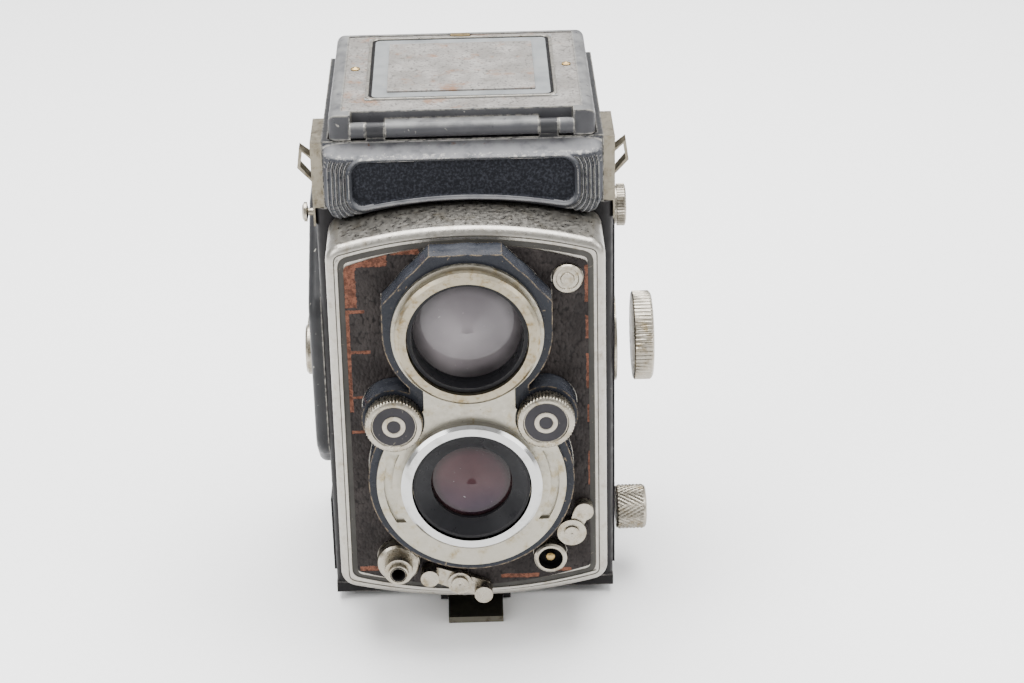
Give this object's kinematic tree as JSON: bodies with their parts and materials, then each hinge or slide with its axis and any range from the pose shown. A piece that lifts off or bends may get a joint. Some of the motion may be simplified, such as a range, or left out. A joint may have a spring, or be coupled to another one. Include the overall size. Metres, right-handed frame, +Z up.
{
  "type": "twin lens reflex camera",
  "caption": "Twin lens reflex roll-film camera with folding waist-level hood, side focusing knob, winding crank, front dials and hinged back.",
  "frame": {"origin": "centre of the tripod socket's mouth, level with the feet", "axes": "+Z up, -Y the way the lenses face, +X to the right for someone facing the lenses"},
  "size_m": [0.0937, 0.0966, 0.1427],
  "materials": {
    "black_enamel": "worn semi-gloss",
    "worn_alloy": "aged satin",
    "chrome": "polished",
    "nickel": "aged satin",
    "black_leather": "grained",
    "optical_glass": "polished",
    "mirror_glass": "polished",
    "steel": "satin",
    "dark_metal": "matt"
  },
  "bodies": {
    "camera_body": {"body_shell": "black_enamel", "film_gate": "dark_metal", "gear_cover": "black_enamel", "wall_bushes": "nickel", "hinge_pins": "steel", "hood_base": "black_enamel", "front_nameplate_housing": "black_enamel", "strap_plates": "worn_alloy", "mirror_box_frame": "dark_metal", "reflex_mirror": "mirror_glass", "focusing_screen": "optical_glass", "side_leathers": "black_leather"},
    "back": {"back_door": "black_enamel", "feet": "nickel", "tripod_bush": "nickel", "pressure_plate": "dark_metal", "back_leather": "black_leather"},
    "back_latch": {"back_latch": "nickel"},
    "focus_drive": {"focus_knob": "nickel", "focus_camshaft": "steel"},
    "lens_front": {"front_standard": "dark_metal", "front_panel": "black_enamel", "front_leather": "black_leather", "lens_housing": "black_enamel", "face_plate": "worn_alloy", "lens_bayonets": "chrome", "viewing_barrel": "dark_metal", "viewing_lens": "optical_glass", "shutter_housing": "dark_metal", "shutter_and_iris_blades": "dark_metal", "inner_lens_elements": "optical_glass", "taking_front_cell": "dark_metal", "taking_front_element": "optical_glass", "release_collar": "nickel", "flash_socket": "nickel", "front_screws": "nickel"},
    "finder_mask": {"parallax_mask": "dark_metal"},
    "aperture_dial": {"aperture_dial": "nickel"},
    "speed_dial": {"speed_dial": "nickel"},
    "release_button": {"release_button": "nickel"},
    "sync_lever": {"sync_lever": "nickel"},
    "flash_lock": {"flash_lock_lever": "nickel"},
    "winding_crank": {"winding_crank": "nickel"},
    "crank_handle": {"crank_handle": "nickel"},
    "idler": {"idler_gear": "steel"},
    "take_up": {"take_up_spool": "dark_metal", "spool_drive_gear": "steel"},
    "lower_knob": {"lower_spool_knob": "nickel"},
    "upper_knob": {"upper_spool_knob": "nickel"},
    "reset_button": {"counter_reset_button": "nickel"},
    "hood_lid": {"hood_lid": "black_enamel", "lid_leathers": "black_leather", "finder_flap": "worn_alloy", "lid_catch_and_rivets": "nickel", "magnifier": "dark_metal"},
    "left_leaf": {"left_hood_leaf": "dark_metal"},
    "right_leaf": {"right_hood_leaf": "dark_metal"},
    "rear_leaf": {"rear_hood_leaf": "dark_metal"},
    "lower_roller": {"lower_film_roller": "steel"},
    "upper_roller": {"upper_film_roller": "steel"}
  },
  "joints": [
    {"name": "focus_turn", "type": "hinge", "parent": "camera_body", "child": "focus_drive", "pos_m": [0, -0.014, 0.0704], "axis": [-1, 0, 0], "range_deg": [-1, 301]},
    {"name": "front_travel", "type": "slide", "parent": "camera_body", "child": "lens_front", "axis": [0, -1, 0], "range_m": [0, 0.007]},
    {"name": "mask_travel", "type": "slide", "parent": "camera_body", "child": "finder_mask", "axis": [0, -1, 0], "range_m": [0, 0.00251]},
    {"name": "hood_open", "type": "hinge", "parent": "camera_body", "child": "hood_lid", "pos_m": [0, -0.031, 0.138], "axis": [1, 0, 0], "range_deg": [0, 90]},
    {"name": "left_leaf_turn", "type": "hinge", "parent": "camera_body", "child": "left_leaf", "pos_m": [-0.0326, 0, 0.126], "axis": [0, -1, 0], "range_deg": [0, 90.1]},
    {"name": "right_leaf_turn", "type": "hinge", "parent": "camera_body", "child": "right_leaf", "pos_m": [0.0326, 0, 0.126], "axis": [0, 1, 0], "range_deg": [0, 90.1]},
    {"name": "rear_leaf_turn", "type": "hinge", "parent": "camera_body", "child": "rear_leaf", "pos_m": [0, 0.0276, 0.1294], "axis": [-1, 0, 0], "range_deg": [0, 90.1]},
    {"name": "back_open", "type": "hinge", "parent": "camera_body", "child": "back", "pos_m": [0, 0.0296, 0.1146], "axis": [1, 0, 0], "range_deg": [0, 110]},
    {"name": "latch_turn", "type": "hinge", "parent": "back", "child": "back_latch", "pos_m": [0, -0.0323, 0.0012], "axis": [1, 0, 0], "range_deg": [0, 180]},
    {"name": "aperture_turn", "type": "hinge", "parent": "lens_front", "child": "aperture_dial", "pos_m": [-0.0191, -0.063, 0.0714], "axis": [0, -1, 0], "range_deg": [0, 150]},
    {"name": "speed_turn", "type": "hinge", "parent": "lens_front", "child": "speed_dial", "pos_m": [0.0191, -0.063, 0.0714], "axis": [0, -1, 0], "range_deg": [0, 150]},
    {"name": "release_press", "type": "slide", "parent": "lens_front", "child": "release_button", "axis": [0, 1, 0], "range_m": [0, 0.003], "stiffness_N_per_m": 300},
    {"name": "sync_turn", "type": "hinge", "parent": "lens_front", "child": "sync_lever", "pos_m": [-0.0039, -0.055, 0.02], "axis": [0, -1, 0], "range_deg": [-8, 8]},
    {"name": "flash_lock_turn", "type": "hinge", "parent": "lens_front", "child": "flash_lock", "pos_m": [0.0257, -0.055, 0.0338], "axis": [0, -1, 0], "range_deg": [-14, 14]},
    {"name": "crank_turn", "type": "hinge", "parent": "camera_body", "child": "winding_crank", "pos_m": [-0.042, -0.006, 0.065], "axis": [-1, 0, 0], "range_deg": [0, 270]},
    {"name": "crank_handle_fold", "type": "hinge", "parent": "winding_crank", "child": "crank_handle", "pos_m": [-0.04305, 0.0167, 0.065], "axis": [0, 0, -1], "range_deg": [0, 90]},
    {"name": "idler_turn", "type": "hinge", "parent": "camera_body", "child": "idler", "pos_m": [-0.039, 0.00572, 0.08231], "axis": [-1, 0, 0], "range_deg": [-560, 10]},
    {"name": "take_up_turn", "type": "hinge", "parent": "camera_body", "child": "take_up", "pos_m": [0, 0.0152, 0.0963], "axis": [-1, 0, 0], "range_deg": [-10, 400]},
    {"name": "lower_knob_pull", "type": "slide", "parent": "camera_body", "child": "lower_knob", "axis": [1, 0, 0], "range_m": [0, 0.005], "stiffness_N_per_m": 400},
    {"name": "upper_knob_pull", "type": "slide", "parent": "camera_body", "child": "upper_knob", "axis": [1, 0, 0], "range_m": [0, 0.005], "stiffness_N_per_m": 400},
    {"name": "reset_press", "type": "slide", "parent": "camera_body", "child": "reset_button", "axis": [1, 0, 0], "range_m": [0, 0.0015], "stiffness_N_per_m": 300},
    {"name": "lower_roller_turn", "type": "hinge", "parent": "camera_body", "child": "lower_roller", "pos_m": [0, 0.0261, 0.0203], "axis": [1, 0, 0], "continuous": true},
    {"name": "upper_roller_turn", "type": "hinge", "parent": "camera_body", "child": "upper_roller", "pos_m": [0, 0.0261, 0.0829], "axis": [1, 0, 0], "continuous": true}
  ],
  "couplings": [
    {"joint": "focus_turn", "follows": "front_travel", "rad_per_m": 748},
    {"joint": "mask_travel", "follows": "front_travel", "ratio": 0.35714},
    {"joint": "left_leaf_turn", "follows": "hood_open", "ratio": 1},
    {"joint": "right_leaf_turn", "follows": "hood_open", "ratio": 1},
    {"joint": "rear_leaf_turn", "follows": "hood_open", "ratio": 1},
    {"joint": "idler_turn", "follows": "crank_turn", "ratio": -2.0284},
    {"joint": "take_up_turn", "follows": "crank_turn", "ratio": 1.4}
  ]
}
